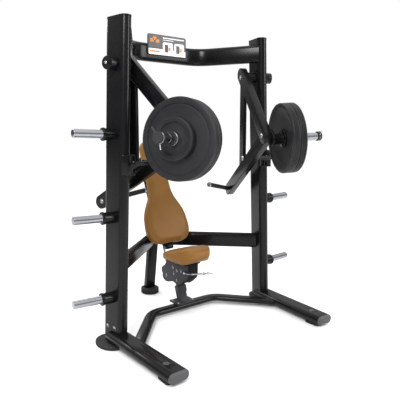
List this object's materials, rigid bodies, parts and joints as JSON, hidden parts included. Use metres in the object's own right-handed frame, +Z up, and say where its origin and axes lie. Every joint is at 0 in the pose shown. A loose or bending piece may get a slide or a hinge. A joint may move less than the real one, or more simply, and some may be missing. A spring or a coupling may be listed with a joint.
{
  "type": "chest press machine",
  "caption": "Plate-loaded chest press: two leaning uprights on floor rails, swinging press arms with weight plates, tall back pad and height-adjustable seat.",
  "frame": {"origin": "centre of the bounding box on the floor", "axes": "+X to the seated user's left, +Y toward the back of the machine, +Z up"},
  "size_m": [1.7952, 1.365, 1.961],
  "materials": {
    "black_paint": "semi-gloss black powder coat",
    "grey_paint": "satin dark grey powder coat",
    "foot_rubber": "matt black rubber",
    "grip_rubber": "dark ribbed grip rubber",
    "chrome": "polished chrome plate",
    "plate_iron": "enamelled cast iron, satin",
    "collar_plastic": "moulded nylon with a steel spring",
    "cap_plastic": "moulded dark grey plastic",
    "cover_plastic": "textured black plastic",
    "placard_plastic": "printed dark grey sheet under a clear film",
    "tan_vinyl": "tan upholstery vinyl with a fine grain"
  },
  "bodies": {
    "frame": {"upright_l": "black_paint", "upright_cap_l": "black_paint", "base_foot_l": "foot_rubber", "base_rail_l": "black_paint", "rail_cap_l": "cap_plastic", "rail_foot_l": "foot_rubber", "rear_beam_l": "black_paint", "pivot_housing_l": "black_paint", "stop_bracket_l": "black_paint", "upright_r": "black_paint", "upright_cap_r": "black_paint", "base_foot_r": "foot_rubber", "base_rail_r": "black_paint", "rail_cap_r": "cap_plastic", "rail_foot_r": "foot_rubber", "rear_beam_r": "black_paint", "pivot_housing_r": "black_paint", "stop_bracket_r": "black_paint", "storage_horn_l_1": "chrome", "storage_horn_l_2": "chrome", "storage_horn_l_3": "chrome", "storage_horn_r_1": "chrome", "storage_horn_r_2": "chrome", "storage_horn_r_3": "chrome", "lower_crossbar": "black_paint", "top_crossbar": "black_paint", "placard": "placard_plastic", "back_pad": "tan_vinyl", "back_board": "cover_plastic", "rear_post": "black_paint", "rear_foot": "foot_rubber", "seat_post": "grey_paint", "guide_rod": "chrome"},
    "arm_l": {"lever_l": "black_paint", "link_plate_l": "black_paint", "handle_arm_l": "black_paint", "grip_l": "grip_rubber", "grip_cap_l": "chrome", "horn_hub_l": "black_paint", "horn_l": "chrome"},
    "arm_r": {"lever_r": "black_paint", "link_plate_r": "black_paint", "handle_arm_r": "black_paint", "grip_r": "grip_rubber", "grip_cap_r": "chrome", "horn_hub_r": "black_paint", "horn_r": "chrome"},
    "plates_l": {"plate_inner_l": "plate_iron", "plate_outer_l": "plate_iron", "plate_small_l": "plate_iron", "spring_collar_l": "collar_plastic"},
    "plates_r": {"plate_inner_r": "plate_iron", "plate_outer_r": "plate_iron", "plate_small_r": "plate_iron", "spring_collar_r": "collar_plastic"},
    "seat": {"seat_housing": "grey_paint", "seat_cover": "cover_plastic", "seat_cushion": "tan_vinyl", "seat_pan": "cover_plastic"},
    "seat_lever": {"seat_lever": "chrome"}
  },
  "joints": [
    {"name": "arm_l", "type": "hinge", "parent": "frame", "child": "arm_l", "pos_m": [0.562, -0.0275, 1.68], "axis": [-0.9323, 0.3616, 0], "range_deg": [0, 40]},
    {"name": "plates_l", "type": "slide", "parent": "arm_l", "child": "plates_l", "axis": [0.9046, -0.4218, 0.061], "range_m": [0, 0.09]},
    {"name": "arm_r", "type": "hinge", "parent": "frame", "child": "arm_r", "pos_m": [-0.562, -0.0275, 1.68], "axis": [-0.9323, -0.3616, 0], "range_deg": [0, 40]},
    {"name": "plates_r", "type": "slide", "parent": "arm_r", "child": "plates_r", "axis": [-0.9046, -0.4218, 0.061], "range_m": [0, 0.09]},
    {"name": "seat_slide", "type": "slide", "parent": "frame", "child": "seat", "axis": [0, 0.3173, 0.9483], "range_m": [0, 0.09]},
    {"name": "seat_release", "type": "hinge", "parent": "seat", "child": "seat_lever", "pos_m": [-0.056, 0.0325, 0.318], "axis": [-1, 0, 0], "range_deg": [0, 15], "stiffness_Nm_per_rad": 1}
  ]
}
